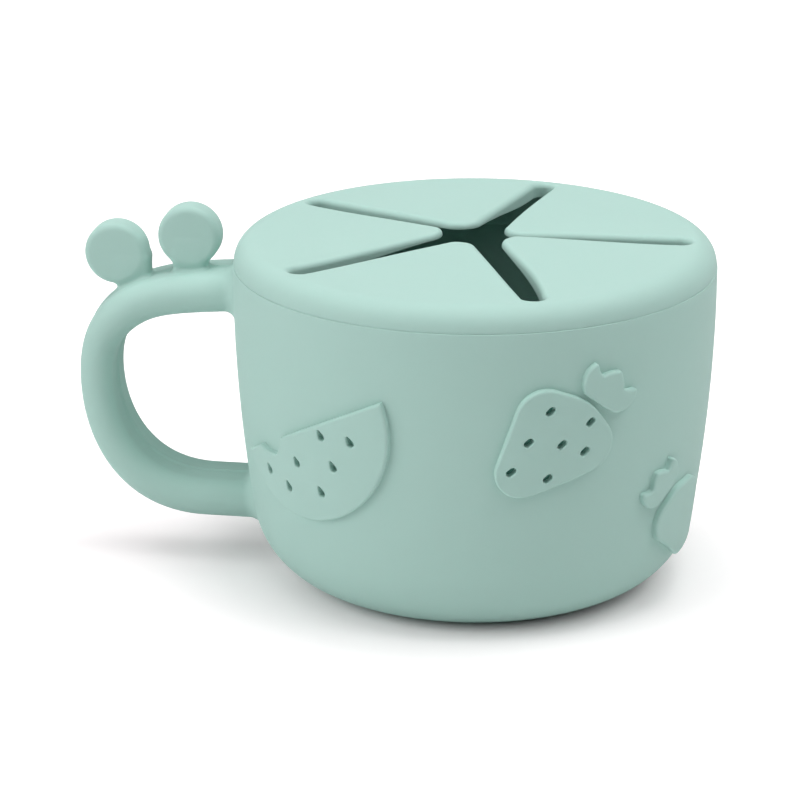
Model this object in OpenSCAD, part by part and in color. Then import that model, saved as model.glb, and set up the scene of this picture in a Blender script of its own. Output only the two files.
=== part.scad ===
// Toddler snack container: a silicone cup with a loop handle, and a lift-off lid with five soft flaps.
// The origin is on the cup's axis, in the plane of its base. +Z is up and the handle points along -X.

/* [Cup] */
// Radius of the cup at its rim
cup_r = 46; // [42:0.5:54]
// Height of the cup from its base to the seam under the lid
seam_z = 61.9; // [58:0.1:74]
// Thickness of the cup's wall and floor
wall = 3; // [2.4:0.1:3.6]
// How far below the seam the wall starts to curve in
straight_h = 2.9; // [2:0.1:5]
// Radius of the long curve of the wall, seen from the side
belly_r = 294; // [240:1:400]
// Radius of the round between the wall and the base
foot_r = 15.6; // [13:0.1:17]

/* [Lid] */
// Height of the lid above the seam
lid_h = 4.6; // [4.4:0.1:6]
// Thickness of the lid's plate and of its flaps' roots
plate_t = 2.8; // [2.4:0.1:2.8]
// Radius of the round on the lid's top edge
edge_r = 4.3; // [3:0.1:4.3]
// Width of the lid's lower face where it sits on the cup
seat_w = 1.4; // [1:0.1:1.8]
// Thickness of the ring under the lid that plugs into the cup
plug_t = 1.4; // [1:0.1:2]
// How far the plug ring reaches below the seam
plug_drop = 4.9; // [3:0.1:8]
// Play between the lid's rings and the cup's raised ring
lid_play = 0.2; // [0.1:0.05:0.3]

/* [Flaps] */
// Width of the slots between the flaps
slot_w = 4; // [3:0.1:4.4]
// Angle of the first slot, counted from +X
slot_turn = 5.8; // [-30:0.1:30]
// Distance from the lid's centre to the tips of the flaps
tip_r = 6; // [5.5:0.1:9]
// How much higher the flaps' tips stand than the lid's rim
flap_rise = 0.8; // [0:0.1:1.2]
// Thickness of the flaps at their tips
tip_t = 1.1; // [0.9:0.1:2]
// Radius of the corners of the flaps' tips
tip_round = 1.2; // [0.8:0.1:1.4]
// Gap between a flap's round root and the lid
flap_play = 0.2; // [0.1:0.05:0.3]

/* [Handle] */
// Thickness of the handle where it leaves the top of the cup
grip_t_top = 7.6; // [6.4:0.1:8.4]
// Thickness of the handle's upright stretch
grip_t = 6.3; // [5:0.1:8]
// Thickness of the handle where it comes back to the cup
grip_t_low = 7.5; // [6:0.1:9]
// Width of the handle's flat inner and outer faces
grip_flat = 8.8; // [6:0.1:11]
// How far the middle of the handle's upright stretch stands out from the cup's rim
grip_out = 27.4; // [25:0.1:31]
// How far below the seam the upper end of the handle leaves the cup
grip_drop = 7.4; // [6.8:0.1:10]
// Height where the handle stands out furthest
grip_mid_z = 36.7; // [33:0.1:40]
// Height of the middle of the handle's lower end
grip_low_z = 12.8; // [11:0.1:15]
// Radius of the fillet where the handle meets the cup
root_fillet = 2; // [1:0.1:2.4]

/* [Knobs] */
// Diameter of the two round knobs on the handle
knob_d = 12.1; // [10:0.1:13]
// Thickness of the knobs
knob_t = 5.5; // [4.5:0.1:6.5]
// Radius of the round on the knobs' edges
knob_round = 1.3; // [0.8:0.1:2]
// Width of the knobs' necks
neck_w = 6.4; // [5:0.1:7.4]
// Distance from the cup's rim to the middle of the inner knob
inner_knob_out = 9.2; // [8.4:0.1:10]
// Height of the middle of the inner knob above the handle's upper end
inner_knob_up = 10.1; // [9:0.1:11]
// Distance from the middle of the outer knob to the middle of the handle's upright stretch
outer_knob_in = 3.7; // [3.2:0.1:4.6]
// Height of the middle of the outer knob above the handle's upper end
outer_knob_up = 6.1; // [5.6:0.1:7]

/* [Fruit] */
// How far the raised fruit stands out from the wall
fruit_h = 1; // [0.6:0.1:1.4]
// Radius of the melon slice's rind
melon_r = 20; // [16:0.5:21]
// Distance from the middle of the rind's circle to the slice's straight edge
melon_cut = 2.6; // [1:0.1:5]
// Tilt of the melon slice
melon_tilt = 26.7; // [10:0.1:40]
// Distance from the seam down to the middle of the melon's straight edge
melon_drop = 22.8; // [21:0.1:27]
// Tilt of the berries from upright
berry_tilt = 37; // [25:0.5:45]
// Length of the upper berry
berry_l = 21.8; // [18:0.1:23]
// Length of the lower berry
berry_low_l = 16.3; // [14:0.1:18]
// Distance from the seam down to the middle of the upper berry
berry_high_drop = 20.6; // [20:0.1:24]
// Height of the middle of the lower berry
berry_low_z = 19; // [18.5:0.1:22]
// Gap between the upper berry and its leaf crown
crown_gap = 0.8; // [0.4:0.1:1.2]
// Angle from the first group of fruit to the second, round the cup
second_turn = 167; // [162:1:170]

/* [Hidden] */

$fn = 96;
// A cut runs this far past the face it starts from
past = 1;
mint = [0.67, 0.81, 0.775];
pale_mint = [0.76, 0.88, 0.85];
sage = [0.6, 0.75, 0.71];

// The cup in section: the wall curves in below bend_z and runs on into the round of the foot
bend_z = seam_z - straight_h;
belly_c = [cup_r - belly_r, bend_z];
foot_c = [belly_c.x + sqrt((belly_r - foot_r) ^ 2 - (bend_z - foot_r) ^ 2), foot_r];
foot_turn = atan2(foot_c.y - belly_c.y, foot_c.x - belly_c.x);
tangent_z = foot_r + foot_r * sin(foot_turn);
inner_r = cup_r - wall;

// The lid sits on the seam, over the cup's raised ring and with its plug ring inside the cup
top_z = seam_z + lid_h;
under_z = top_z - plate_t;
hinge_z = top_z - plate_t / 2;
rim_top_z = under_z - lid_play;
skirt_in = cup_r - seat_w;
rim_out = skirt_in - lid_play;
plug_out = inner_r - lid_play;
plug_in = plug_out - plug_t;

// Each flap turns about the middle of its round root, which lies along a chord between two slot ends
flaps = 5;
step = 360 / flaps;
slot_margin = 0.5;
hinge_margin = 0.5;
slot_reach = plug_in - slot_margin;
hinge_d = (slot_reach - hinge_margin) * cos(step / 2);
root_half = hinge_d * tan(step / 2) - slot_w / 2 / cos(step / 2);
swing_r = plate_t / 2 + flap_play;

// The handle's middle line in the plane y = 0, as two cubic curves of [distance from the axis, height]
grip_u = cup_r + grip_out;
grip_top_z = seam_z - grip_drop;
upper_run = [[cup_r + 4, grip_top_z], [grip_u - 9.9, grip_top_z - 1.1],
    [grip_u, grip_mid_z + 14.6], [grip_u, grip_mid_z]];
lower_run = [[grip_u, grip_mid_z], [grip_u, grip_mid_z - 10.9],
    [grip_u - 5.7, grip_low_z], [cup_r + 6, grip_low_z]];
run_steps = 14;
side_steps = 9;
root_steps = [1, 0.7, 0.4, 0.2, 0.08, 0];
root_sunk = 1.5;

// The knobs stand on the handle, each on a neck that ends inside its thickness
inner_knob = [cup_r + inner_knob_out, grip_top_z + inner_knob_up];
outer_knob = [grip_u - outer_knob_in, grip_top_z + outer_knob_up];
outer_neck_in = 3.3;
outer_neck_drop = 3.5;
neck_inset = 0.5;

// The fruit in the plane of the wall. Lengths are for a melon of 20 mm and a berry of 21.8 mm,
// and those of the lower crown for a lower berry of 16.3 mm.
melon_turn = -126;
berry_high_turn = -62;
berry_low_turn = -21;
melon_k = melon_r / 20;
berry_k = berry_l / 21.8;
berry_low_k = berry_low_l / 21.8;
berry_low_turned = 16.6;
crown_low_k = 0.872 * berry_low_l / 16.3;
crown_low_at = [1.05, 8.6] * berry_low_l / 16.3;
bite = [[-6.2, 0.5], [-9.4, -2.7], [-14.6, 0.5]];
melon_seeds = [[4.8, -2.2], [10.4, -5], [-4, -5.4], [4.4, -8.3], [-13.4, -5], [-9, -9.2], [-1, -12]];
berry_lobes = [[-2, -8.9, 4.9], [4.6, 1.6, 5.6], [0, -1.6, 10], [-5, 1.6, 5.6]];
berry_seeds = [[-5.3, 3.3], [2.7, 5.6], [-4.9, -3.6], [0.6, -0.6], [5.3, 0.6], [-3.9, -9.8], [2.5, -7.2]];
berry_top = 8.4;
crown_side = 2.3;
berry_seed_turn = -10;
crown_leaf = [[-3.6, 0], [3.6, 0], [5.4, 1.4], [6, 3.4], [5.5, 6.1], [2.5, 4.7],
    [0, 7.3], [-2.5, 4.7], [-5.5, 6.1], [-6, 3.4], [-5.4, 1.4]];

// Points on an arc about c, from angle a to angle b in n equal steps
function arc(c, r, a, b, n) = [for (i = [0:n]) c + r * [cos(a + (b - a) * i / n), sin(a + (b - a) * i / n)]];

// The outside of the cup from its base to the bend, moved outwards by g
function skin(g) = concat(
    arc(foot_c, foot_r + g, -90, foot_turn, 9),
    [for (p = arc(belly_c, belly_r + g, foot_turn, 0, 12)) if (p.y > tangent_z + 0.5) p]);

function backwards(list) = [for (i = [len(list) - 1:-1:0]) list[i]];

// Distance from the axis to the outside of the wall at height z
function wall_u(z) = z > bend_z ? cup_r
    : z > tangent_z ? belly_c.x + sqrt(belly_r ^ 2 - (z - bend_z) ^ 2)
    : foot_c.x + sqrt(foot_r ^ 2 - (z - foot_r) ^ 2);

function bezier(p, t) = (1 - t) ^ 3 * p[0] + 3 * (1 - t) ^ 2 * t * p[1]
    + 3 * (1 - t) * t ^ 2 * p[2] + t ^ 3 * p[3];
function bezier_way(p, t) = (1 - t) ^ 2 * (p[1] - p[0]) + 2 * (1 - t) * t * (p[2] - p[1])
    + t ^ 2 * (p[3] - p[2]);
function unit(v) = v / norm(v);
function ease(a, b, t) = a + (b - a) * (1 - cos(180 * t)) / 2;

// How much the handle thickens at distance d from the wall, so that it meets the wall in a fillet
function flare(d) = d >= root_fillet ? 0
    : 2 * (root_fillet - sqrt(root_fillet ^ 2 - (root_fillet - max(d, 0)) ^ 2));

// The straight end of the handle from the wall to point p, as rings of [point, way, thickness, follow],
// where follow goes from 0 for a flat ring to 1 for a ring that lies along the curved wall
function root_ring(p, way, t, d) = [p - way * ((p.x - wall_u(p.y) - d) / way.x), way, t + flare(d),
    min(1, 1 - d / root_fillet)];
function root(p, way, t) = concat(
    [for (s = root_steps) root_ring(p, way, t, s * root_fillet)], [root_ring(p, way, t, -root_sunk)]);

top_way = unit(bezier_way(upper_run, 0));
low_way = unit(bezier_way(lower_run, 1));
grip_rings = concat(
    backwards(root(upper_run[0], top_way, grip_t_top)),
    [for (i = [0:run_steps]) let (t = i / run_steps)
        [bezier(upper_run, t), unit(bezier_way(upper_run, t)), ease(grip_t_top, grip_t, t), 0]],
    [for (i = [1:run_steps]) let (t = i / run_steps)
        [bezier(lower_run, t), unit(bezier_way(lower_run, t)), ease(grip_t, grip_t_low, t), 0]],
    root(lower_run[3], low_way, grip_t_low));

// One ring of the handle: two half circles joined by the flat faces
function ring_points(ring) = let (p = ring[0], out = [-ring[1].y, ring[1].x], r = ring[2] / 2)
    [for (side = [1, -1], i = [0:side_steps])
        let (a = 180 * i / side_steps, n = side * r * cos(a), w = side * (grip_flat / 2 + r * sin(a)),
            z = p.y + out.y * n, back = ring[3] * (wall_u(p.y) - sqrt(wall_u(z) ^ 2 - w ^ 2)))
        [back - (p.x + out.x * n), w, z]];

// The outline round a list of circles [x, y, r], touched one after the other anticlockwise
function touch(a, b) = atan2(b.y - a.y, b.x - a.x) - acos((a.z - b.z) / norm([b.x - a.x, b.y - a.y]));
function round_outline(c, n) = [for (i = [0:len(c) - 1])
    let (k = len(c), from = touch(c[(i + k - 1) % k], c[i]), to = touch(c[i], c[(i + 1) % k]),
        sweep = (to - from + 720) % 360)
    each arc([c[i].x, c[i].y], c[i].z, from, from + sweep, n)];

// The whole cup as one filled block, which the handle is cut back to
module cup_block() {
    rotate_extrude()
        polygon(concat([[0, 0]], skin(0), [[cup_r, seam_z], [0, seam_z]]));
}

module cup_bowl() {
    color(mint)
    rotate_extrude()
        polygon(concat([[0, 0]], skin(0),
            [[cup_r, seam_z], [rim_out, seam_z], [rim_out, rim_top_z], [inner_r, rim_top_z]],
            backwards(skin(-wall)), [[0, wall]]));
}

module handle_band() {
    side = 2 * (side_steps + 1);
    last = len(grip_rings) - 1;
    polyhedron(
        points = [for (ring = grip_rings) each ring_points(ring)],
        faces = concat(
            [[for (i = [0:side - 1]) i]],
            [for (k = [0:last - 1], i = [0:side - 1]) let (j = (i + 1) % side)
                [k * side + i, (k + 1) * side + i, (k + 1) * side + j]],
            [for (k = [0:last - 1], i = [0:side - 1]) let (j = (i + 1) % side)
                [k * side + i, (k + 1) * side + j, k * side + j]],
            [[for (i = [side - 1:-1:0]) last * side + i]]));
}

module handle() {
    color(mint)
    difference() {
        handle_band();
        cup_block();
    }
}

// A round knob at [distance from the axis, height], with its neck neck_in nearer the cup
module knob(at, neck_in, foot_z) {
    r = knob_d / 2;
    color(sage)
    difference() {
        union() {
            translate([-at.x, 0, at.y])
                rotate([90, 0, 0])
                rotate_extrude() {
                    translate([0, -knob_t / 2])
                        square([r - knob_round, knob_t]);
                    translate([0, -knob_t / 2 + knob_round])
                        square([r, knob_t - 2 * knob_round]);
                    for (side = [-1, 1])
                        translate([r - knob_round, side * (knob_t / 2 - knob_round)])
                            circle(knob_round);
                }
            translate([-at.x + neck_in - neck_w / 2, -knob_t / 2 + neck_inset, foot_z])
                cube([neck_w, knob_t - 2 * neck_inset, at.y - foot_z]);
        }
        handle_band();
    }
}

module knob_inner() {
    knob(inner_knob, 0, grip_top_z);
}

module knob_outer() {
    knob(outer_knob, outer_neck_in, grip_top_z - outer_neck_drop);
}

// Raises a flat figure from the wall, at an angle round the cup and a height
module on_wall(turn, z) {
    color(sage)
    intersection() {
        rotate_extrude()
            polygon(concat(skin(0), [[cup_r, seam_z - past], [cup_r + fruit_h, seam_z - past]],
                backwards(skin(fruit_h))));
        rotate([0, 0, turn + 90])
            translate([0, -foot_c.x, z])
            rotate([90, 0, 0])
            linear_extrude(cup_r)
            children();
    }
}

module melon_figure() {
    rotate(melon_tilt)
    difference() {
        intersection() {
            translate([0, melon_cut])
                circle(melon_r);
            translate([-melon_r, -2 * melon_r])
                square(2 * melon_r);
        }
        polygon(bite * melon_k);
        for (at = melon_seeds)
            translate(at * melon_k)
                polygon([[-0.7, -0.8], [-0.3, -1.1], [0.4, -1.1], [0.7, -0.7],
                    [0.5, 0], [0, 1.2], [-0.5, 0]]);
    }
}

module berry_figure(k, seeds) {
    scale(k)
    difference() {
        polygon(round_outline(berry_lobes, 8));
        for (at = seeds)
            translate(at)
                rotate(berry_seed_turn)
                polygon(round_outline([[0, -0.45, 0.62], [0, 0.45, 0.62]], 6));
    }
}

module crown_figure(k, at) {
    translate(at)
        scale(k)
        polygon(crown_leaf);
}

// Leans a berry or its crown to the right, or mirrored to the left
module leaning(right) {
    if (right)
        rotate(-berry_tilt) children();
    else
        mirror([1, 0]) rotate(-berry_tilt) children();
}

module melon(turn) {
    on_wall(melon_turn + turn, seam_z - melon_drop) melon_figure();
}
module berry_high(turn) {
    on_wall(berry_high_turn + turn, seam_z - berry_high_drop)
        leaning(true)
        berry_figure(berry_k, berry_seeds);
}
module crown_high(turn) {
    on_wall(berry_high_turn + turn, seam_z - berry_high_drop)
        leaning(true)
        crown_figure(berry_k, [crown_side * berry_k, berry_top * berry_k + crown_gap]);
}
module berry_low(turn) {
    on_wall(berry_low_turn + turn, berry_low_z)
        leaning(false)
        rotate(berry_low_turned)
        berry_figure(berry_low_k, []);
}
module crown_low(turn) {
    on_wall(berry_low_turn + turn, berry_low_z) leaning(false) crown_figure(crown_low_k, crown_low_at);
}

// The opening in the lid's plate: a pentagon between the five roots, and the round ends of the slots
module opening() {
    polygon([for (i = [0:flaps - 1]) hinge_d / cos(step / 2)
        * [cos(slot_turn + i * step), sin(slot_turn + i * step)]]);
    for (i = [0:flaps - 1])
        rotate(slot_turn + i * step) {
            translate([hinge_d, -slot_w / 2])
                square([slot_reach - slot_w / 2 - hinge_d, slot_w]);
            translate([slot_reach - slot_w / 2, 0])
                circle(slot_w / 2);
        }
}

// The room that a flap's root needs to turn in, up and down
module root_room() {
    half = root_half + flap_play;
    translate([hinge_d, half, hinge_z])
        rotate([90, 0, 0])
        linear_extrude(2 * half)
        polygon(concat([[-swing_r, -plate_t], [swing_r, -plate_t]], arc([0, 0], swing_r, 0, 180, 12)));
}

module lid() {
    color(pale_mint)
    difference() {
        rotate_extrude()
            polygon(concat(
                [[0, under_z], [plug_in, under_z], [plug_in, seam_z - plug_drop],
                    [plug_out, seam_z - plug_drop], [plug_out, under_z],
                    [skirt_in, under_z], [skirt_in, seam_z], [cup_r, seam_z]],
                arc([cup_r - edge_r, top_z - edge_r], edge_r, 0, 90, 8), [[0, top_z]]));
        translate([0, 0, under_z - past])
            linear_extrude(plate_t + 2 * past)
            opening();
        for (i = [0:flaps - 1])
            rotate(slot_turn + (i + 0.5) * step)
                root_room();
    }
}

// One flap, counted anticlockwise from the first slot
module flap(number) {
    tip_half = tip_r * tan(step / 2) - slot_w / 2 / cos(step / 2);
    corner = [tip_r + tip_round, tip_half - tip_round * tan(45 - step / 4)];
    color(pale_mint)
    rotate(slot_turn + (number - 0.5) * step) {
        intersection() {
            translate([0, 0, under_z - past])
                linear_extrude(plate_t + flap_rise + 2 * past)
                polygon(concat(
                    [[hinge_d, -root_half], [hinge_d, root_half]],
                    arc(corner, tip_round, 90 + step / 2, 180, 4),
                    arc([corner.x, -corner.y], tip_round, 180, 270 - step / 2, 4)));
            translate([0, cup_r, 0])
                rotate([90, 0, 0])
                linear_extrude(2 * cup_r)
                polygon([[hinge_d, under_z], [hinge_d, top_z], [tip_r, top_z + flap_rise],
                    [tip_r, top_z + flap_rise - tip_t]]);
        }
        translate([hinge_d, root_half, hinge_z])
            rotate([90, 0, 0])
            cylinder(r = plate_t / 2, h = 2 * root_half);
    }
}

cup_bowl();
handle();
knob_inner();
knob_outer();
melon(0);  // melon_front
berry_high(0);  // berry_front_high
crown_high(0);  // crown_front_high
berry_low(0);  // berry_front_low
crown_low(0);  // crown_front_low
melon(second_turn);  // melon_back
berry_high(second_turn);  // berry_back_high
crown_high(second_turn);  // crown_back_high
berry_low(second_turn);  // berry_back_low
crown_low(second_turn);  // crown_back_low
lid();
flap(1);  // flap_1
flap(2);  // flap_2
flap(3);  // flap_3
flap(4);  // flap_4
flap(5);  // flap_5
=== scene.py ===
import math
import bmesh
import bpy
import numpy as np
from mathutils import Matrix, Vector


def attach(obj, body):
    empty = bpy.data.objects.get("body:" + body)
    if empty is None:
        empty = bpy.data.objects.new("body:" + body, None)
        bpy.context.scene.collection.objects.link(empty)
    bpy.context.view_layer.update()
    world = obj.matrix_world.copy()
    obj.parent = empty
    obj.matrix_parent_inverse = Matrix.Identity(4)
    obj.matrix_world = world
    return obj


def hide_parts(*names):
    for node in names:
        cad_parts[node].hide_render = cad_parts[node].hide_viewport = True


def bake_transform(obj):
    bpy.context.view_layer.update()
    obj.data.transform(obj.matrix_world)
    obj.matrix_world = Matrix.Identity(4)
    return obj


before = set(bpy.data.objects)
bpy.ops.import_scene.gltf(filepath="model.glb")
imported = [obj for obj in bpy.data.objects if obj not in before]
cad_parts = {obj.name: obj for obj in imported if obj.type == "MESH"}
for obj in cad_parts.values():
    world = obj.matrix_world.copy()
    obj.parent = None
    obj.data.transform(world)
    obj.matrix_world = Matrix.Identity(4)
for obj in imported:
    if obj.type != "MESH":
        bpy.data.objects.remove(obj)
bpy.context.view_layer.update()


# ---------------------------------------------------------------- the bowl of the cup
# One soft moulding in mint silicone: a wall about 3 mm thick that curves in to a round foot and a
# flat base. The raised ring inside its rim is what the lid grips. It is turned from its own section.

MM = 0.001
CUP_R, SEAM_Z, WALL = 46.0, 61.9, 3.0
BEND_Z, BELLY_R, FOOT_R = 59.0, 294.0, 15.6
BELLY_U = CUP_R - BELLY_R
FOOT_U = BELLY_U + math.sqrt((BELLY_R - FOOT_R) ** 2 - (BEND_Z - FOOT_R) ** 2)
FOOT_TURN = math.degrees(math.atan2(FOOT_R - BEND_Z, FOOT_U - BELLY_U))
TANGENT_Z = FOOT_R + FOOT_R * math.sin(math.radians(FOOT_TURN))
RING_OUT, RING_TOP = 44.4, 63.5
RIM_ROUND, RING_ROUND = 0.2, 0.45


def arc(u, z, r, start, end, steps):
    """Points on an arc about (u, z), by angles in degrees."""
    turns = [math.radians(start + (end - start) * i / steps) for i in range(steps + 1)]
    return [(u + r * math.cos(t), z + r * math.sin(t)) for t in turns]


def wall_section(out):
    """The wall from the base up to its bend, moved outwards by out."""
    foot = arc(FOOT_U, FOOT_R, FOOT_R + out, -90, FOOT_TURN, 30)
    return foot + arc(BELLY_U, BEND_Z, BELLY_R + out, FOOT_TURN, 0, 44)[1:]


def turned(section, turns):
    """A shape turned about the axis, from a section that starts and ends on the axis."""
    points, rings, faces = [], [], []
    for u, z in section:
        count = 1 if u < 1e-6 else turns
        rings.append([len(points) + i for i in range(count)])
        for i in range(count):
            a = 2 * math.pi * i / turns
            points.append((u * math.cos(a), u * math.sin(a), z))
    for low, high in zip(rings, rings[1:]):
        for i in range(turns):
            j = (i + 1) % turns
            if len(low) == 1:
                faces.append((low[0], high[j], high[i]))
            elif len(high) == 1:
                faces.append((low[i], low[j], high[0]))
            else:
                faces.append((low[i], low[j], high[j], high[i]))
    return points, faces


def silicone(name, colour, shade):
    """Matte moulded silicone: faint clouds of colour, a fine bloom on the skin and soft depth."""
    material = bpy.data.materials.new(name)
    material.use_nodes = True
    nodes, links = material.node_tree.nodes, material.node_tree.links
    skin = nodes["Principled BSDF"]
    skin.inputs["IOR"].default_value = 1.41
    skin.inputs["Specular IOR Level"].default_value = 0.35
    skin.inputs["Subsurface Weight"].default_value = 0.10
    skin.inputs["Subsurface Radius"].default_value = (0.6, 1.0, 0.9)
    skin.inputs["Subsurface Scale"].default_value = 0.0008
    skin.inputs["Sheen Weight"].default_value = 0.04
    skin.inputs["Sheen Roughness"].default_value = 0.5
    place = nodes.new("ShaderNodeTexCoord")

    clouds = nodes.new("ShaderNodeTexNoise")
    clouds.inputs["Scale"].default_value = 38
    clouds.inputs["Detail"].default_value = 3
    links.new(place.outputs["Object"], clouds.inputs["Vector"])
    tint = nodes.new("ShaderNodeMix")
    tint.data_type = "RGBA"
    tint.inputs["A"].default_value = (*shade, 1)
    tint.inputs["B"].default_value = (*colour, 1)
    links.new(clouds.outputs["Fac"], tint.inputs["Factor"])
    links.new(tint.outputs["Result"], skin.inputs["Base Color"])

    bloom = nodes.new("ShaderNodeTexNoise")
    bloom.inputs["Scale"].default_value = 900
    bloom.inputs["Detail"].default_value = 3
    links.new(place.outputs["Object"], bloom.inputs["Vector"])
    dull = nodes.new("ShaderNodeMapRange")
    dull.inputs["To Min"].default_value = 0.56
    dull.inputs["To Max"].default_value = 0.70
    links.new(bloom.outputs["Fac"], dull.inputs["Value"])
    links.new(dull.outputs["Result"], skin.inputs["Roughness"])

    grain = nodes.new("ShaderNodeBump")
    grain.inputs["Strength"].default_value = 0.25
    grain.inputs["Distance"].default_value = 0.00002
    links.new(bloom.outputs["Fac"], grain.inputs["Height"])
    links.new(grain.outputs["Normal"], skin.inputs["Normal"])
    return material


def piece(name, points, faces, finish, sharp=40):
    """A closed mesh from points in millimetres, smooth but for edges sharper than an angle."""
    mesh = bpy.data.meshes.new(name)
    mesh.from_pydata((np.asarray(points, float) * MM).tolist(), [], faces)
    shell = bmesh.new()
    shell.from_mesh(mesh)
    bmesh.ops.recalc_face_normals(shell, faces=shell.faces)
    shell.to_mesh(mesh)
    shell.free()
    mesh.shade_smooth()
    mesh.set_sharp_from_angle(angle=math.radians(sharp))
    mesh.materials.append(finish)
    made = bpy.data.objects.new(name, mesh)
    bpy.context.scene.collection.objects.link(made)
    return made


cup_mint = silicone("cup_mint_silicone", (0.411, 0.608, 0.554), (0.396, 0.590, 0.537))
bowl_section = (
    [(0, 0)] + wall_section(0) + [(CUP_R, SEAM_Z - RIM_ROUND)]
    + arc(CUP_R - RIM_ROUND, SEAM_Z - RIM_ROUND, RIM_ROUND, 0, 90, 6)[1:] + [(RING_OUT, SEAM_Z)]
    + arc(RING_OUT - RING_ROUND, RING_TOP - RING_ROUND, RING_ROUND, 0, 90, 5)
    + arc(CUP_R - WALL + RING_ROUND, RING_TOP - RING_ROUND, RING_ROUND, 90, 180, 5)
    + wall_section(-WALL)[::-1] + [(0, WALL)])
bowl = piece("cup_bowl_moulding", *turned(bowl_section, 240), cup_mint)
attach(bowl, "cup")
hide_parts("cup_bowl")


# ---------------------------------------------------------------- the loop handle
# Part of the cup's moulding: a flat-faced band with round edges, thick at its ends and slimmer where
# it stands upright, with a fillet where it runs into the wall. The mould's halves meet along its
# middle and leave a low ridge there. Its skin is where the distance from all this reaches nought.

GRIP_FLAT, ROOT_FILLET = 8.8, 2.2
GRIP_TOP_T, GRIP_T, GRIP_LOW_T = 7.6, 6.3, 7.5
GRIP_U, GRIP_TOP_Z, GRIP_MID_Z, GRIP_LOW_Z = 73.4, 54.5, 36.7, 12.8
# How little the fillets sink into what they stand on, and how deep the roots go
SUNK, ROOT_DEPTH, NECK_DEPTH = 0.006, 0.5, 0.6
RIDGE_HIGH, RIDGE_WIDE = 0.3, 0.5
# The band is fuller at its upper bend, mostly on the inner side
BEND_FULL, BEND_AT, BEND_SPREAD, BEND_INWARD = 0.65, 0.6, 0.2, 0.35
RUN_STEPS, ROOT_RUN = 40, 9


def shaped(field, low, high, cell):
    """Points and faces of the closed skin where field is nought, one point to a cell, drawn on to
    the skin itself. The cell may differ from axis to axis."""
    low, cell = np.array(low, float), np.ones(3) * cell
    counts = np.ceil((np.array(high, float) - low) / cell).astype(int) + 1
    axes = [low[k] + cell[k] * np.arange(counts[k]) for k in range(3)]
    value = np.array(np.broadcast_to(field(*np.meshgrid(*axes, indexing="ij", sparse=True)), counts))
    full = value < 0
    near = sum(full[i:counts[0] - 1 + i, j:counts[1] - 1 + j, k:counts[2] - 1 + k].astype(int)
               for i in (0, 1) for j in (0, 1) for k in (0, 1))
    crossed = (near > 0) & (near < 8)
    cells = np.argwhere(crossed)
    number = np.full(crossed.shape, -1)
    number[crossed] = np.arange(len(cells))
    units = np.eye(3, dtype=int)
    total, hits = np.zeros((len(cells), 3)), np.zeros(len(cells))
    for k in range(3):
        b, c = units[(k + 1) % 3], units[(k + 2) % 3]
        for step in (0 * b, b, c, b + c):
            start = cells + step
            here, there = value[tuple(start.T)], value[tuple((start + units[k]).T)]
            hit = (here < 0) != (there < 0)
            part = here[hit] / (here[hit] - there[hit])
            total[hit] += start[hit] + part[:, None] * units[k]
            hits[hit] += 1
    points = low + cell * total / hits[:, None]
    faces = []
    for k in range(3):
        b, c = units[(k + 1) % 3], units[(k + 2) % 3]
        first = full[tuple(slice(0, counts[i] - (i == k)) for i in range(3))]
        last = full[tuple(slice(int(i == k), counts[i]) for i in range(3))]
        edges = np.argwhere(first != last)
        inside_first = first[tuple(edges.T)]
        quad = np.stack([number[tuple((edges - b - c).T)], number[tuple((edges - c).T)],
                         number[tuple(edges.T)], number[tuple((edges - b).T)]], axis=1)
        quad[~inside_first] = quad[~inside_first][:, ::-1]
        faces += quad.tolist()
    nudge = 0.05 * cell.min()
    for _ in range(3):
        height = field(*points.T)
        slope = np.stack([(field(*(points + nudge * units[k]).T) - field(*(points - nudge * units[k]).T))
                          / (2 * nudge) for k in range(3)], axis=1)
        move = slope * (height / np.maximum((slope ** 2).sum(1), 0.2))[:, None]
        points -= np.clip(move, -0.4 * cell, 0.4 * cell)
    return points, faces


def joined(a, b, r):
    """Two bodies as one, with a fillet of radius r between them."""
    return np.maximum(r, np.minimum(a, b)) - np.hypot(np.maximum(r - a, 0), np.maximum(r - b, 0))


def common(a, b, r):
    """What two bodies share, with its edge rounded by r."""
    return np.minimum(-r, np.maximum(a, b)) + np.hypot(np.maximum(r + a, 0), np.maximum(r + b, 0))


def wall_distance(u, z):
    """Distance outwards from the cup's wall, at a distance from the axis and a height."""
    belly = np.hypot(u - BELLY_U, z - BEND_Z) - BELLY_R
    foot = np.hypot(u - FOOT_U, z - FOOT_R) - FOOT_R
    turn = np.degrees(np.arctan2(z - FOOT_R, u - FOOT_U))
    return np.where(z > BEND_Z, u - CUP_R, np.where(turn > FOOT_TURN, belly, foot))


def curve(p, t):
    return sum(k * (1 - t) ** (3 - i) * t ** i * np.array(p[i]) for i, k in enumerate((1, 3, 3, 1)))


def ease(a, b, t):
    return a + (b - a) * (1 - math.cos(math.pi * t)) / 2


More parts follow.
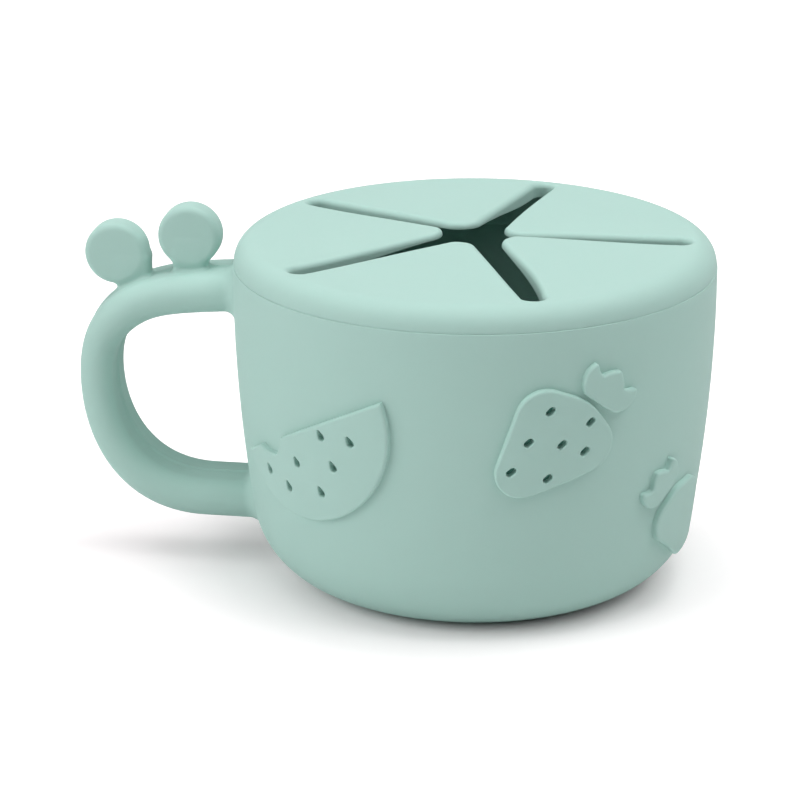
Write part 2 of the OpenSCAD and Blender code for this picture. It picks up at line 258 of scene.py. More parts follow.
upper_run = [(CUP_R + 4, GRIP_TOP_Z), (GRIP_U - 9.9, GRIP_TOP_Z - 1.1),
             (GRIP_U, GRIP_MID_Z + 14.6), (GRIP_U, GRIP_MID_Z)]
lower_run = [(GRIP_U, GRIP_MID_Z), (GRIP_U, GRIP_MID_Z - 10.9),
             (GRIP_U - 5.7, GRIP_LOW_Z), (CUP_R + 6, GRIP_LOW_Z)]
top_way = (np.array(upper_run[1]) - upper_run[0]) / math.dist(upper_run[1], upper_run[0])
middle_line = [(*(np.array(upper_run[0]) - ROOT_RUN * top_way), GRIP_TOP_T)]
for i in range(RUN_STEPS + 1):
    t = i / RUN_STEPS
    u, z = curve(upper_run, t)
    full = BEND_FULL * math.exp(-((t - BEND_AT) / BEND_SPREAD) ** 2)
    shift = BEND_INWARD * full
    middle_line.append((u - shift, z - shift, ease(GRIP_TOP_T, GRIP_T, t) + full))
for i in range(1, RUN_STEPS + 1):
    t = i / RUN_STEPS
    middle_line.append((*curve(lower_run, t), ease(GRIP_T, GRIP_LOW_T, t)))
middle_line.append((CUP_R - ROOT_RUN, GRIP_LOW_Z, GRIP_LOW_T))


def band_distance(u, y, z):
    """Distance from the skin of the handle's band."""
    nearest = np.full(np.broadcast(u, z).shape, 1e9)
    thick = np.zeros_like(nearest)
    for (u0, z0, t0), (u1, z1, t1) in zip(middle_line, middle_line[1:]):
        along = ((u - u0) * (u1 - u0) + (z - z0) * (z1 - z0)) / ((u1 - u0) ** 2 + (z1 - z0) ** 2)
        along = np.clip(along, 0, 1)
        away = np.hypot(u - u0 - along * (u1 - u0), z - z0 - along * (z1 - z0))
        thick = np.where(away < nearest, t0 + along * (t1 - t0), thick)
        nearest = np.minimum(nearest, away)
    ridge = RIDGE_HIGH * np.exp(-(y / RIDGE_WIDE) ** 2)
    return np.hypot(nearest, np.maximum(np.abs(y) - GRIP_FLAT / 2, 0)) - thick / 2 - ridge


def handle_field(x, y, z):
    band = band_distance(-x, y, z)
    wall = wall_distance(np.hypot(x, y), z)
    whole = joined(band, wall + SUNK, ROOT_FILLET)
    return np.maximum(whole, np.maximum(band - ROOT_FILLET, -(wall + ROOT_DEPTH)))


handle = piece("loop_handle", *shaped(handle_field, (-78, -11, 3), (-38, 11, 62), (0.4, 0.22, 0.4)),
               cup_mint, 60)
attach(handle, "cup")
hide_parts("handle")


# ---------------------------------------------------------------- the two round knobs
# Two thick discs with round edges that stand on the handle for a child to feel, each on a short neck
# that flares into the band. They are moulded with the cup, so nothing holds them but the silicone.

KNOB_R, KNOB_HALF, KNOB_ROUND = 6.05, 2.75, 1.3
NECK_HALF, NECK_ROUND, NECK_FILLET, NECK_SLIM = 3.2, 1.1, 0.9, 0.45
knobs = {
    "inner": (CUP_R + 9.2, GRIP_TOP_Z + 10.1, 0, GRIP_TOP_Z),
    "outer": (GRIP_U - 3.7, GRIP_TOP_Z + 6.1, 3.3, GRIP_TOP_Z - 3.5)}


def block_distance(*offs):
    """Distance from a block, given how far a point lies past its faces along each axis."""
    outside = np.sqrt(sum(np.maximum(o, 0) ** 2 for o in offs))
    return outside + np.minimum(np.maximum.reduce(np.broadcast_arrays(*offs)), 0)


for which, (knob_u, knob_z, neck_in, neck_z) in knobs.items():
    def knob_field(x, y, z):
        disc = block_distance(np.hypot(x + knob_u, z - knob_z) - KNOB_R + KNOB_ROUND,
                              np.abs(y) - KNOB_HALF + KNOB_ROUND) - KNOB_ROUND
        neck = block_distance(np.abs(x + knob_u - neck_in) - NECK_HALF + NECK_ROUND,
                              np.abs(y) - KNOB_HALF + NECK_SLIM + NECK_ROUND,
                              np.abs(z - (knob_z + neck_z) / 2) - (knob_z - neck_z) / 2 + NECK_ROUND)
        whole = joined(disc, neck - NECK_ROUND, NECK_FILLET)
        band = band_distance(-x, y, z)
        rooted = joined(whole, band + SUNK, NECK_FILLET)
        return np.maximum(rooted, np.maximum(whole - NECK_FILLET, -(band + NECK_DEPTH)))

    low = (-knob_u - 8, -5, neck_z - 1)
    high = (-knob_u + 9, 5, knob_z + 7.5)
    knob = piece(f"knob_{which}_disc", *shaped(knob_field, low, high, 0.24), cup_mint, 60)
    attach(knob, "cup")
    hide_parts(f"knob_{which}")


# ---------------------------------------------------------------- the raised fruit
# Slices of melon and berries with leaf crowns stand a millimetre out of the wall, with round edges
# and little pits for seeds. Each is an island of the cup's moulding. A figure is shaped flat, with its
# height above the wall as third axis, and is then laid round the wall.

FRUIT_RISE, FRUIT_ROUND, FRUIT_SUNK, PIT_ROUND = 1.25, 0.5, 0.25, 0.25
BERRY_LEAN = -37
BACK_TURN = 167


def bowed(corners):
    """An outline of (x, y, bow): each side runs to the next corner and bows outwards by bow."""
    line = []
    for (x0, y0, bow), (x1, y1, _) in zip(corners, corners[1:] + corners[:1]):
        out = np.array([y1 - y0, x0 - x1]) / math.dist((x0, y0), (x1, y1))
        for t in np.arange(12) / 12:
            straight = (1 - t) * np.array([x0, y0]) + t * np.array([x1, y1])
            line.append(straight + 4 * t * (1 - t) * bow * out)
    return np.array(line)


def round_outline(circles, steps):
    """The outline that touches circles of (x, y, radius) one after the other, anticlockwise."""
    def touch(a, b):
        return math.atan2(b[1] - a[1], b[0] - a[0]) - math.acos((a[2] - b[2]) / math.dist(a[:2], b[:2]))
    line = []
    for i, c in enumerate(circles):
        start, end = touch(circles[i - 1], c), touch(c, circles[(i + 1) % len(circles)])
        sweep = (end - start) % (2 * math.pi)
        for t in start + sweep * np.arange(steps + 1) / steps:
            line.append((c[0] + c[2] * math.cos(t), c[1] + c[2] * math.sin(t)))
    return np.array(line)


def rotated(outline, degrees, scale=1):
    c, s = math.cos(math.radians(degrees)), math.sin(math.radians(degrees))
    return scale * outline @ np.array([[c, s], [-s, c]])


def outline_distance(a, b, outline):
    """Distance from a flat outline, negative inside it."""
    nearest = np.full(np.broadcast(a, b).shape, 1e9)
    inside = np.zeros(nearest.shape, bool)
    for (x0, y0), (x1, y1) in zip(outline, np.roll(outline, -1, axis=0)):
        dx, dy = x1 - x0, y1 - y0
        along = np.clip(((a - x0) * dx + (b - y0) * dy) / max(dx * dx + dy * dy, 1e-12), 0, 1)
        nearest = np.minimum(nearest, np.hypot(a - x0 - along * dx, b - y0 - along * dy))
        if abs(dy) > 1e-9:
            inside ^= ((y0 > b) != (y1 > b)) & (a < dx * (b - y0) / dy + x0)
    return np.where(inside, -nearest, nearest)


def raised(outline, grow, pits):
    """A figure in (across, up, height): an outline grown by grow, with its edges rounded and a pit
    for each seed."""
    def field(a, b, h):
        foot = np.clip(0.25 - h, 0, 0.25)
        side = outline_distance(a, b, outline) - grow - foot * foot
        body = common(side, h - FRUIT_RISE, FRUIT_ROUND)
        for pit in pits:
            body = common(body, -outline_distance(a, b, pit), PIT_ROUND)
        return np.maximum(body, -(h + FRUIT_SUNK))
    reach = grow + 0.5
    low, high = (*(outline.min(0) - reach), -0.45), (*(outline.max(0) + reach), FRUIT_RISE + 0.3)
    return shaped(field, low, high, (0.2, 0.2, 0.15))


def wall_u(z):
    """Distance from the axis to the wall at a height."""
    z = np.asarray(z, float)
    belly = BELLY_U + np.sqrt(np.maximum(BELLY_R ** 2 - (z - BEND_Z) ** 2, 0))
    foot = FOOT_U + np.sqrt(np.maximum(FOOT_R ** 2 - (z - FOOT_R) ** 2, 0))
    return np.where(z > BEND_Z, CUP_R, np.where(z > TANGENT_Z, belly, foot))


def round_the_wall(points, lean, mirrored, turn, middle_z):
    """Lays figure points (across, up, height) on the wall at an angle round the cup and a height."""
    c, s = math.cos(math.radians(lean)), math.sin(math.radians(lean))
    a, b, h = points[:, 0] * c - points[:, 1] * s, points[:, 0] * s + points[:, 1] * c, points[:, 2]
    if mirrored:
        a = -a
    z = middle_z + b
    u = wall_u(z)
    fall = (wall_u(z + 0.05) - wall_u(z - 0.05)) / 0.1
    out = h / np.hypot(1, fall)
    forward, side = np.sqrt(u ** 2 - a ** 2) * (1 + out / u), a * (1 + out / u)
    c, s = math.cos(math.radians(turn)), math.sin(math.radians(turn))
    return np.stack([forward * c - side * s, forward * s + side * c, z - out * fall], axis=1)


melon_rind = [(20 * math.cos(t), 2.6 + 20 * math.sin(t))
              for t in np.linspace(math.pi + math.asin(0.13), 2 * math.pi - math.asin(0.13), 90)]
melon_bite = bowed([(-6.2, 0, -0.3), (-9.4, -2.7, -0.3), (-14.2, 0, 0)])
melon_line = np.array(melon_rind + [tuple(p) for p in melon_bite[:25]])
melon_seeds = [(5, -2), (10.6, -4.8), (-3.8, -5.2), (4.6, -8.1), (-13.2, -4.8), (-8.8, -9),
               (-0.8, -11.8)]
melon_seed = round_outline([(0, -0.35, 0.72), (0, 0.8, 0.28)], 8)
berry_lobes = [(-2, -8.9, 4.9), (4.6, 1.6, 5.6), (0, -1.6, 10), (-5, 1.6, 5.6)]
berry_seeds = [(-5.3, 3.3), (2.7, 5.6), (-4.9, -3.6), (0.6, -0.6), (5.3, 0.6), (-3.9, -9.8), (2.5, -7.2)]
SEED_TURN = -10
berry_seed = rotated(round_outline([(0, -0.38, 0.62), (0, 0.38, 0.62)], 8), SEED_TURN)
leaf = bowed([(-3.6, 0.5, 0.1), (3.6, 0.5, 0.1), (5.0, 1.7, 0.1), (5.5, 3.4, 0.15), (5.1, 5.3, -0.3),
              (2.5, 4.1, 0.2), (0, 6.5, 0.2), (-2.5, 4.1, -0.3), (-5.1, 5.3, 0.15), (-5.5, 3.4, 0.1),
              (-5.0, 1.7, 0.1)])
# The lower berry is smaller, has no seeds and stands straighter under its own crown
LOW_BERRY, LOW_BERRY_TURN, LOW_CROWN = 16.3 / 21.8, 16.6, 0.872
figures = {
    "melon": raised(melon_line, 0, [melon_seed + s for s in melon_seeds]),
    "berry_high": raised(round_outline(berry_lobes, 24), 0, [berry_seed + s for s in berry_seeds]),
    "berry_low": raised(rotated(round_outline(berry_lobes, 24), LOW_BERRY_TURN, LOW_BERRY), 0, []),
    "crown_high": raised(leaf + (2.3, 9.2), 0.5, []),
    "crown_low": raised(leaf * LOW_CROWN + (1.05, 8.6), 0.5 * LOW_CROWN, [])}

# Each fruit: its lean, whether it is mirrored, its angle round the cup and its height
places = {
    "melon": (26.7, False, -126, SEAM_Z - 22.8),
    "berry_high": (BERRY_LEAN, False, -62, SEAM_Z - 20.6),
    "crown_high": (BERRY_LEAN, False, -62, SEAM_Z - 20.6),
    "berry_low": (BERRY_LEAN, True, -21, 19),
    "crown_low": (BERRY_LEAN, True, -21, 19)}
for side, extra in (("front", 0), ("back", BACK_TURN)):
    for fruit, (lean, mirrored, turn, middle_z) in places.items():
        points, faces = figures[fruit]
        laid = round_the_wall(points, lean, mirrored, turn + extra, middle_z)
        kind, _, level = fruit.partition("_")
        node = f"{kind}_{side}" + (f"_{level}" if level else "")
        relief = piece(f"{node}_relief", laid, faces, cup_mint, 60)
        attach(relief, "cup")
        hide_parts(node)


# ---------------------------------------------------------------- the painted shade in the seed pits
# The bottom of each seed pit: a small low dish of painted shade. Its darker green stands for the
# shade deep in the pit, for the real pits are the same silicone. One rule lays them all, in their pits.

def pit_tree(name, material):
    """Low dishes on points that carry their own stance, as wide, long and high as the inputs say."""
    tree = bpy.data.node_groups.new(name, "GeometryNodeTree")
    tree.interface.new_socket("Places", in_out="INPUT", socket_type="NodeSocketGeometry")
    for label in ("Half Width", "Half Length", "Height", "Taper"):
        tree.interface.new_socket(label, in_out="INPUT", socket_type="NodeSocketFloat")
    tree.interface.new_socket("Beds", in_out="OUTPUT", socket_type="NodeSocketGeometry")
    nodes, links = tree.nodes, tree.links
    given, result = nodes.new("NodeGroupInput"), nodes.new("NodeGroupOutput")
    ball = nodes.new("GeometryNodeMeshUVSphere")
    ball.inputs["Segments"].default_value = 20
    ball.inputs["Rings"].default_value = 8
    ball.inputs["Radius"].default_value = 1
    at, split = nodes.new("GeometryNodeInputPosition"), nodes.new("ShaderNodeSeparateXYZ")
    links.new(at.outputs[0], split.inputs[0])
    narrow = nodes.new("ShaderNodeMath")
    narrow.operation = "MULTIPLY_ADD"
    links.new(split.outputs["Y"], narrow.inputs[0])
    links.new(given.outputs["Taper"], narrow.inputs[1])
    narrow.inputs[2].default_value = 1
    wide = nodes.new("ShaderNodeMath")
    wide.operation = "MULTIPLY"
    links.new(split.outputs["X"], wide.inputs[0])
    links.new(narrow.outputs[0], wide.inputs[1])
    shape = nodes.new("ShaderNodeCombineXYZ")
    links.new(wide.outputs[0], shape.inputs["X"])
    links.new(split.outputs["Y"], shape.inputs["Y"])
    links.new(split.outputs["Z"], shape.inputs["Z"])
    set_shape = nodes.new("GeometryNodeSetPosition")
    links.new(ball.outputs["Mesh"], set_shape.inputs["Geometry"])
    links.new(shape.outputs[0], set_shape.inputs["Position"])
    size = nodes.new("ShaderNodeCombineXYZ")
    for socket, label in (("X", "Half Width"), ("Y", "Half Length"), ("Z", "Height")):
        links.new(given.outputs[label], size.inputs[socket])
    stance = nodes.new("GeometryNodeInputNamedAttribute")
    stance.data_type = "FLOAT_VECTOR"
    stance.inputs["Name"].default_value = "stance"
    spread = nodes.new("GeometryNodeInstanceOnPoints")
    links.new(given.outputs["Places"], spread.inputs["Points"])
    links.new(set_shape.outputs[0], spread.inputs["Instance"])
    links.new(stance.outputs["Attribute"], spread.inputs["Rotation"])
    links.new(size.outputs[0], spread.inputs["Scale"])
    real, paint = nodes.new("GeometryNodeRealizeInstances"), nodes.new("GeometryNodeSetMaterial")
    paint.inputs["Material"].default_value = material
    links.new(spread.outputs[0], real.inputs[0])
    links.new(real.outputs[0], paint.inputs["Geometry"])
    links.new(paint.outputs[0], result.inputs["Beds"])
    return tree


def grown(name, source, tree, sizes):
    """The tree's result on a source mesh, as a plain object. The source is taken away."""
    holder = bpy.data.objects.new(name + "_source", source)
    bpy.context.scene.collection.objects.link(holder)
    rule = holder.modifiers.new("rule", "NODES")
    rule.node_group = tree
    for item in tree.interface.items_tree:
        if item.in_out == "INPUT" and item.name in sizes:
            rule[item.identifier] = sizes[item.name]
    shown = holder.evaluated_get(bpy.context.evaluated_depsgraph_get())
    mesh = bpy.data.meshes.new_from_object(shown)
    mesh.name = name
    holder.modifiers.clear()
    bpy.data.objects.remove(holder)
    made = bpy.data.objects.new(name, mesh)
    bpy.context.scene.collection.objects.link(made)
    return made


BED_HIGH = 0.14
# Painted shade: these two greens are darker than the skin only to stand for the shade in the pits
melon_shade_paint = silicone("melon_pit_painted_shade", (0.210, 0.410, 0.345), (0.180, 0.360, 0.300))
berry_shade_paint = silicone("berry_pit_painted_shade", (0.080, 0.235, 0.190), (0.060, 0.190, 0.155))
pits = {
    "melon_seed_painted_shade_beds": ("melon", melon_shade_paint, melon_seeds, 0, 0.62, 1.0, -0.4),
    "berry_seed_painted_shade_beds": ("berry_high", berry_shade_paint, berry_seeds, SEED_TURN, 0.55, 0.9, 0)}
for name, (fruit, green, seeds, tilt, half_width, half_length, taper) in pits.items():
    lean, mirrored, turn, middle_z = places[fruit]
    spots, stances = [], []
    for extra in (0, BACK_TURN):
        flat = np.array([(x, y, 0.0) for x, y in seeds])
        way = math.radians(90 + tilt)
        ahead = flat + 0.2 * np.array([math.cos(way), math.sin(way), 0])
        lifted = flat + (0, 0, 0.2)
        laid = [round_the_wall(p, lean, mirrored, turn + extra, middle_z) for p in (flat, ahead, lifted)]
        for spot, front, top in zip(*laid):
            up = Vector(top - spot).normalized()
            along = Vector(front - spot).normalized()
            across = along.cross(up)
            stances.append(Matrix((across, along, up)).transposed().to_euler())
            spots.append(spot * MM)
    source = bpy.data.meshes.new(name + "_points")
    source.from_pydata([tuple(s) for s in spots], [], [])
    kept = source.attributes.new("stance", "FLOAT_VECTOR", "POINT")
    kept.data.foreach_set("vector", [v for e in stances for v in e])
    dishes = grown(name, source, pit_tree(name, green), {
        "Half Width": half_width * MM, "Half Length": half_length * MM,
        "Height": BED_HIGH * MM, "Taper": taper})
    dishes.data.shade_smooth()
    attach(dishes, "cup")


# ---------------------------------------------------------------- the lid's ring
# The second moulding, in the same silicone: a round rim that hooks over the cup's raised ring, a plug
# ring that reaches down inside it, and the outer part of the slightly domed plate. Five slots end
# in it. Their top edges are well rounded so that a small hand slides in.

LID_R, TOP_Z, UNDER_Z, EDGE_R, LIP_ROUND = 45.86, 66.5, 63.7, 4.3, 0.12
SKIRT_IN, PLUG_OUT, PLUG_IN, PLUG_LOW = 44.6, 42.8, 41.4, 57.0
DOME, SLOT_HALF, SLOT_END, SLOT_ROUND = 1.0, 2.05, 38.85, 1.15
FIRST_SLOT, STEP = 5.8, 72
SEAM_D = SLOT_END * math.cos(math.radians(STEP / 2)) + SLOT_HALF * math.sin(math.radians(STEP / 2))
lid_mint = silicone("lid_mint_silicone", (0.411, 0.608, 0.554), (0.396, 0.590, 0.537))


def top_height(r):
    """The plate's top and the rim's round, at a distance from the axis."""
    flat = TOP_Z + DOME * np.maximum(1 - (r / (LID_R - EDGE_R)) ** 2, 0) ** 2
    past = np.clip(r - (LID_R - EDGE_R), 0, EDGE_R)
    return flat - EDGE_R + np.sqrt(EDGE_R ** 2 - past ** 2)


def under_height(r):
    """The plate's underside: the flaps thin out towards their tips."""
    return np.interp(r, [5, 13, 20, 27, 32, 36, 39], [66.4, 65.95, 65.25, 64.45, 63.95, 63.75, UNDER_Z])


def slot_distance(x, y):
    """Distance from the nearest slot, negative in it. Slots lie to both sides of the +X direction."""
    nearest = np.full(np.broadcast(x, y).shape, 1e9)
    for side in (-1, 1):
        turn = math.radians(side * STEP / 2)
        along = np.clip(x * math.cos(turn) + y * math.sin(turn), 0, SLOT_END)
        nearest = np.minimum(nearest, np.hypot(x - along * math.cos(turn), y - along * math.sin(turn)))
    return nearest - SLOT_HALF


def rounded_off(top, under, inward):
    """The top's height where its edge, which lies inward of the point, is rounded."""
    r = np.minimum(SLOT_ROUND, top - under - 0.12)
    return top - r + np.sqrt(np.maximum(r ** 2 - np.maximum(r - np.maximum(inward, 0), 0) ** 2, 0))


def slot_side(d):
    """Half the width of a flap at distance d from the axis, along the flap's own middle."""
    half = math.radians(STEP / 2)
    return d * math.tan(half) - SLOT_HALF / math.cos(half)


# Places across a flap, from one slot to the other, close together where the edge is round
edge_steps = [0, 0.02, 0.08, 0.18, 0.32, 0.5, 0.72, 0.98, 1.3]
EDGE_ZONE = 1.8
seam_side = slot_side(SEAM_D)
inner_share = 1 - EDGE_ZONE / seam_side
inner_places = np.linspace(-inner_share, inner_share, 25)


def across(half_width):
    """Places across a flap whose half width is given, from the lower side up."""
    scale = min(1, half_width / 4)
    low = [-half_width + e * scale for e in edge_steps]
    middle = [p * (half_width - EDGE_ZONE * scale) / inner_share for p in inner_places]
    return low + middle + [half_width - e * scale for e in reversed(edge_steps)]


half_step = math.radians(STEP / 2)
slot_way = np.array([math.cos(half_step), math.sin(half_step)])
slot_off = np.array([math.sin(half_step), -math.cos(half_step)])
end_arc = [SLOT_END * slot_way + SLOT_HALF * (math.cos(t) * slot_way + math.sin(t) * slot_off)
           for t in np.radians(np.linspace(90, 0, 11))]
edge_line = [p * (1, -1) for p in end_arc[::-1]]
edge_line += [np.array([SEAM_D, y]) for y in across(seam_side)[1:-1]]
edge_line += end_arc[:-1]

RIM_FROM = 43.2
rim_turn = math.degrees(math.asin((RIM_FROM - LID_R + EDGE_R) / EDGE_R))
columns = []
for px, py in edge_line:
    r0, turn = math.hypot(px, py), math.atan2(py, px)
    out = r0 + (RIM_FROM - r0) * np.linspace(0, 1, 22) ** 1.7
    x, y = out * math.cos(turn), out * math.sin(turn)
    top = rounded_off(top_height(out), under_height(out), slot_distance(x, y))
    loop = list(zip(out, top))
    loop += arc(LID_R - EDGE_R, TOP_Z - EDGE_R, EDGE_R, 90 - rim_turn, 0, 14)[1:]
    loop += arc(LID_R - LIP_ROUND, SEAM_Z + LIP_ROUND, LIP_ROUND, 0, -90, 4)
    loop += [(SKIRT_IN, SEAM_Z), (SKIRT_IN, UNDER_Z), (PLUG_OUT, UNDER_Z)]
    loop += arc(PLUG_OUT - 0.5, PLUG_LOW + 0.5, 0.5, 0, -90, 4)
    loop += arc(PLUG_IN + 0.5, PLUG_LOW + 0.5, 0.5, -90, -180, 4)
    loop += [(PLUG_IN, UNDER_Z)]
    back = PLUG_IN + (r0 - PLUG_IN) * np.linspace(0, 1, 8)
    loop += list(zip(back, under_height(back)))[1:]
    columns.append([(u * math.cos(turn), u * math.sin(turn), z) for u, z in loop])
ring_points, ring_faces = [], []
for i in range(5):
    turn = math.radians(FIRST_SLOT + (i + 0.5) * STEP)
    for column in columns:
        for x, y, z in column:
            ring_points.append((x * math.cos(turn) - y * math.sin(turn),
                                x * math.sin(turn) + y * math.cos(turn), z))
levels, count = len(columns[0]), 5 * len(columns)
for k in range(count):
    for i in range(levels):
        a, b, j = k * levels, (k + 1) % count * levels, (i + 1) % levels
        ring_faces.append((a + i, a + j, b + j, b + i))
lid_ring = piece("lid_ring", ring_points, ring_faces, lid_mint)
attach(lid_ring, "lid")
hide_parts("lid")


# ---------------------------------------------------------------- the five flaps
# Tongues of the lid's plate, thinner towards their blunt tips, that bend down under a hand and spring
# back. Each grows out of the ring with no joint. One flap is shaped once and set five times, and its
# tip stands as high as handling has left that one.

TIP_D, TIP_ROUND, BEND_LENGTH = 6.2, 1.5, 5.5
# How far each tip is lifted and drawn back, and how much the flap's right side is pulled in
bends = {1: (-0.9, 1.4, 0.0), 2: (0.0, 0.0, 0.0), 3: (0.5, 0.0, 0.0), 4: (0.05, 0.0, 0.0),
         5: (0.55, 1.3, 0.12)}


def flap_inward(x, y):
    """How far a point of the flap lies in from its free edge."""
    return -common(-slot_distance(x, y), TIP_D - x, TIP_ROUND)


rows = TIP_D + (SEAM_D - TIP_D) * np.concatenate([
    np.array(edge_steps + [1.7]) / (SEAM_D - TIP_D),
    np.linspace(2.3 / (SEAM_D - TIP_D), 1, 30)])
grid = []
for d in rows:
    low, high = 0.0, slot_side(d)
    for _ in range(30):
        middle = (low + high) / 2
        low, high = (middle, high) if flap_inward(d, middle) > 0 else (low, middle)
    grid.append([(d, y) for y in across(max(low, 0.35))])
grid = np.array(grid)
flat_x, flat_y = grid[..., 0], grid[..., 1]
far = np.hypot(flat_x, flat_y)
under = under_height(far)
tops = rounded_off(top_height(far), under, flap_inward(flat_x, flat_y))
row_count, column_count = flat_x.shape
flap_points = np.concatenate([np.stack([flat_x, flat_y, tops], -1).reshape(-1, 3),
                              np.stack([flat_x, flat_y, under], -1).reshape(-1, 3)])
size = row_count * column_count
flap_faces = []
for i in range(row_count - 1):
    for j in range(column_count - 1):
        a, b = i * column_count + j, (i + 1) * column_count + j
        flap_faces += [(a, b, b + 1, a + 1), (size + a, size + a + 1, size + b + 1, size + b)]
border = ([j for j in range(column_count)]
          + [i * column_count + column_count - 1 for i in range(1, row_count)]
          + [size - 1 - j for j in range(1, column_count)]
          + [i * column_count for i in range(row_count - 2, 0, -1)])
for a, b in zip(border, border[1:] + border[:1]):
    flap_faces.append((a, b, size + b, size + a))


def flap_tree(material):
    """Sets the flap at its angle, with its tip lifted in a soft curve from the root."""
    tree = bpy.data.node_groups.new("flap_in_its_place", "GeometryNodeTree")
    tree.interface.new_socket("Flap", in_out="INPUT", socket_type="NodeSocketGeometry")
    for label in ("Turn", "Tip Lift", "Tip Back", "Waist", "Root", "Length"):
        tree.interface.new_socket(label, in_out="INPUT", socket_type="NodeSocketFloat")
    tree.interface.new_socket("Flap", in_out="OUTPUT", socket_type="NodeSocketGeometry")
    nodes, links = tree.nodes, tree.links

    def math_node(operation, *values):
        node = nodes.new("ShaderNodeMath")
        node.operation = operation
        for socket, value in zip(node.inputs, values):
            if isinstance(value, (int, float)):
                socket.default_value = value
            else:
                links.new(value, socket)
        return node.outputs[0]

    given, result = nodes.new("NodeGroupInput"), nodes.new("NodeGroupOutput")
    at, split = nodes.new("GeometryNodeInputPosition"), nodes.new("ShaderNodeSeparateXYZ")
    links.new(at.outputs[0], split.inputs[0])
    gone = math_node("SUBTRACT", given.outputs["Root"], split.outputs["X"])
    share = math_node("MAXIMUM", math_node("DIVIDE", gone, given.outputs["Length"]), 0)
    rise = math_node("MULTIPLY", math_node("POWER", share, 1.7), given.outputs["Tip Lift"])
    drawn = math_node("MULTIPLY", math_node("POWER", share, 2), given.outputs["Tip Back"])
    bow = math_node("MULTIPLY", math_node("MULTIPLY", share, math_node("SUBTRACT", 1, share)), -4)
    right = math_node("MINIMUM", split.outputs["Y"], 0)
    pulled = math_node("MULTIPLY", math_node("MULTIPLY", bow, right), given.outputs["Waist"])
    move, lift = nodes.new("ShaderNodeCombineXYZ"), nodes.new("GeometryNodeSetPosition")
    links.new(drawn, move.inputs["X"])
    links.new(pulled, move.inputs["Y"])
    links.new(rise, move.inputs["Z"])
    links.new(given.outputs["Flap"], lift.inputs["Geometry"])
    links.new(move.outputs[0], lift.inputs["Offset"])
    angle, set_at = nodes.new("ShaderNodeCombineXYZ"), nodes.new("GeometryNodeTransform")
    links.new(given.outputs["Turn"], angle.inputs["Z"])
    links.new(lift.outputs[0], set_at.inputs["Geometry"])
    links.new(angle.outputs[0], set_at.inputs["Rotation"])
    real, paint = nodes.new("GeometryNodeRealizeInstances"), nodes.new("GeometryNodeSetMaterial")
    paint.inputs["Material"].default_value = material
    links.new(set_at.outputs[0], real.inputs[0])
    links.new(real.outputs[0], paint.inputs["Geometry"])
    links.new(paint.outputs[0], result.inputs["Flap"])
    return tree


set_flap = flap_tree(lid_mint)
pattern = piece("flap_pattern", flap_points, flap_faces, lid_mint)
for number, (tip_lift, tip_back, waist) in bends.items():
    turn = math.radians(FIRST_SLOT + (number - 0.5) * STEP)
    tongue = grown(f"flap_{number}_tongue", pattern.data.copy(), set_flap,
                   {"Turn": turn, "Tip Lift": tip_lift * MM, "Tip Back": tip_back * MM, "Waist": waist,
                    "Root": (SEAM_D - 1) * MM, "Length": (SEAM_D - 1 - TIP_D) * MM})
    way = Vector((math.cos(turn), math.sin(turn), 0))
    level = Vector((0, 0, (TOP_Z + UNDER_Z) / 2 * MM))
    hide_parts(f"flap_{number}")
    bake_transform(tongue)
bpy.data.objects.remove(pattern)


# ---------------------------------------------------------------- the table, the light and the camera
# A white table that keeps the cup's soft shadow and has a painted contact shadow round the foot,
# broad lamps overhead, left, right and in front, and a pale room. The camera stands where the photograph
# was taken from.

world = bpy.data.worlds.new("pale_room")
bpy.context.scene.world = world
world.use_nodes = True
room = world.node_tree
fill = room.nodes["Background"]
fill.inputs["Color"].default_value = (1, 1, 1, 1)
fill.inputs["Strength"].default_value = 0.10
white = room.nodes.new("ShaderNodeBackground")
white.inputs["Strength"].default_value = 1
path = room.nodes.new("ShaderNodeLightPath")
seen = room.nodes.new("ShaderNodeMath")
seen.operation = "MAXIMUM"
seen_too = room.nodes.new("ShaderNodeMath")
seen_too.operation = "MAXIMUM"
choice = room.nodes.new("ShaderNodeMixShader")
room.links.new(path.outputs["Is Camera Ray"], seen.inputs[0])
room.links.new(path.outputs["Is Glossy Ray"], seen.inputs[1])
room.links.new(seen.outputs[0], seen_too.inputs[0])
room.links.new(path.outputs["Is Transmission Ray"], seen_too.inputs[1])
room.links.new(seen_too.outputs[0], choice.inputs["Fac"])
room.links.new(fill.outputs[0], choice.inputs[1])
room.links.new(white.outputs[0], choice.inputs[2])
room.links.new(choice.outputs[0], room.nodes["World Output"].inputs["Surface"])

table_white = bpy.data.materials.new("table_white")
table_white.use_nodes = True
nodes, links = table_white.node_tree.nodes, table_white.node_tree.links
paint = nodes["Principled BSDF"]
paint.inputs["Base Color"].default_value = (0.88, 0.88, 0.88, 1)
paint.inputs["Roughness"].default_value = 0.9
paint.inputs["Specular IOR Level"].default_value = 0
glow = nodes.new("ShaderNodeEmission")
glow.inputs["Color"].default_value = (1, 0.84, 0.88, 1)
path = nodes.new("ShaderNodeLightPath")
share = nodes.new("ShaderNodeMath")
share.operation = "MULTIPLY"
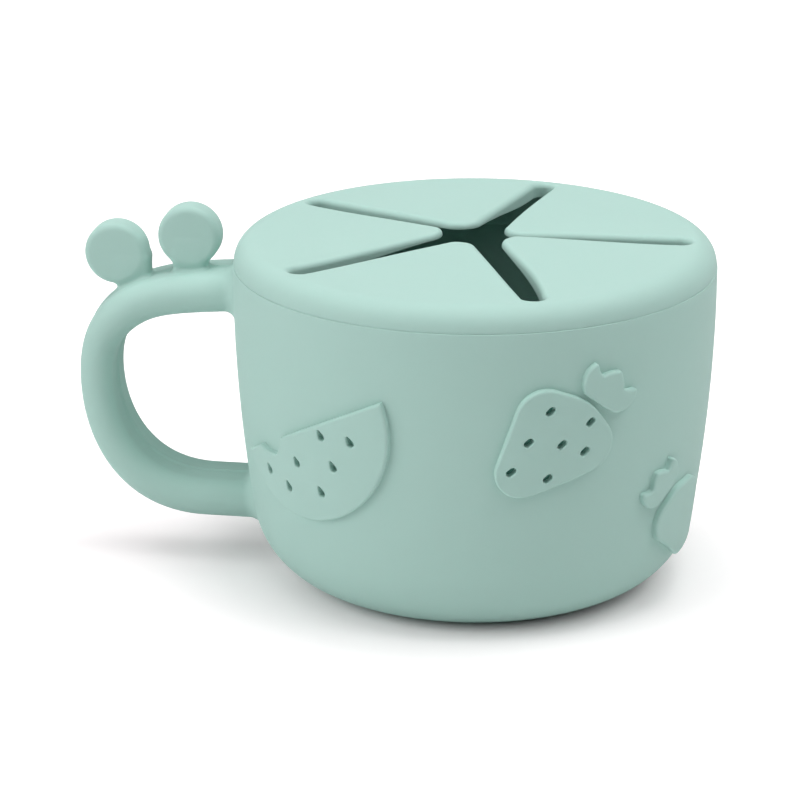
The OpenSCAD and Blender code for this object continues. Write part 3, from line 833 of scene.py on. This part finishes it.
# A glow that only the camera sees keeps the table white. It is nought where the foot meets the table
# and grows away from it, which paints a dark contact shadow round the foot, and its pink tint paints out
# the green light that the cup throws on the table
spot = nodes.new("ShaderNodeTexCoord")
off_axis = nodes.new("ShaderNodeVectorMath")
off_axis.operation = "LENGTH"
links.new(spot.outputs["Object"], off_axis.inputs[0])
painted_shadow_glow = nodes.new("ShaderNodeMath")
painted_shadow_glow.operation = "ADD"
for k, (start, end, strength) in enumerate(((0.0305, 0.0360, 0.20), (0.047, 0.066, 0.16))):
    ring = nodes.new("ShaderNodeMapRange")
    ring.inputs["From Min"].default_value = start
    ring.inputs["From Max"].default_value = end
    ring.inputs["To Max"].default_value = strength
    links.new(off_axis.outputs["Value"], ring.inputs["Value"])
    links.new(ring.outputs["Result"], painted_shadow_glow.inputs[k])
links.new(painted_shadow_glow.outputs[0], share.inputs[1])
both = nodes.new("ShaderNodeAddShader")
links.new(path.outputs["Is Camera Ray"], share.inputs[0])
links.new(share.outputs[0], glow.inputs["Strength"])
links.new(paint.outputs[0], both.inputs[0])
links.new(glow.outputs[0], both.inputs[1])
links.new(both.outputs[0], nodes["Material Output"].inputs["Surface"])
TABLE_HALF, TABLE_Z = 3000, -0.05
corners = [(x * TABLE_HALF, y * TABLE_HALF, TABLE_Z) for x, y in ((-1, -1), (1, -1), (1, 1), (-1, 1))]
table = piece("table", corners, [(0, 1, 2, 3)], table_white)


def lamp(name, at, look_at, width, power):
    """A square soft lamp, in metres and watts."""
    light = bpy.data.lights.new(name, "AREA")
    light.size, light.energy = width, power
    made = bpy.data.objects.new(name, light)
    made.location = at
    made.rotation_euler = (Vector(look_at) - Vector(at)).to_track_quat("-Z", "Y").to_euler()
    bpy.context.scene.collection.objects.link(made)


lamp("lamp_overhead", (-0.10, 0.05, 1.20), (0, 0, 0.05), 1.1, 7.0)
lamp("lamp_left", (-0.95, -0.55, 0.55), (0, 0, 0.03), 0.8, 7.0)
lamp("lamp_right", (0.50, 0.05, 1.05), (0, 0, 0.05), 0.9, 7.0)
lamp("lamp_front", (0.45, -0.60, 1.00), (0, 0, 0.05), 0.8, 2.1)

camera = bpy.data.objects.new("camera", bpy.data.cameras.new("camera"))
camera.data.lens, camera.data.sensor_width = 164.45, 36
camera.data.clip_start = 0.05
camera.location = (0.09271, -0.65968, 0.26259)
camera.rotation_euler = [math.radians(a) for a in (71.047, 0, 9.226)]
bpy.context.scene.collection.objects.link(camera)
bpy.context.scene.camera = camera
bpy.context.scene.view_settings.view_transform = "Standard"
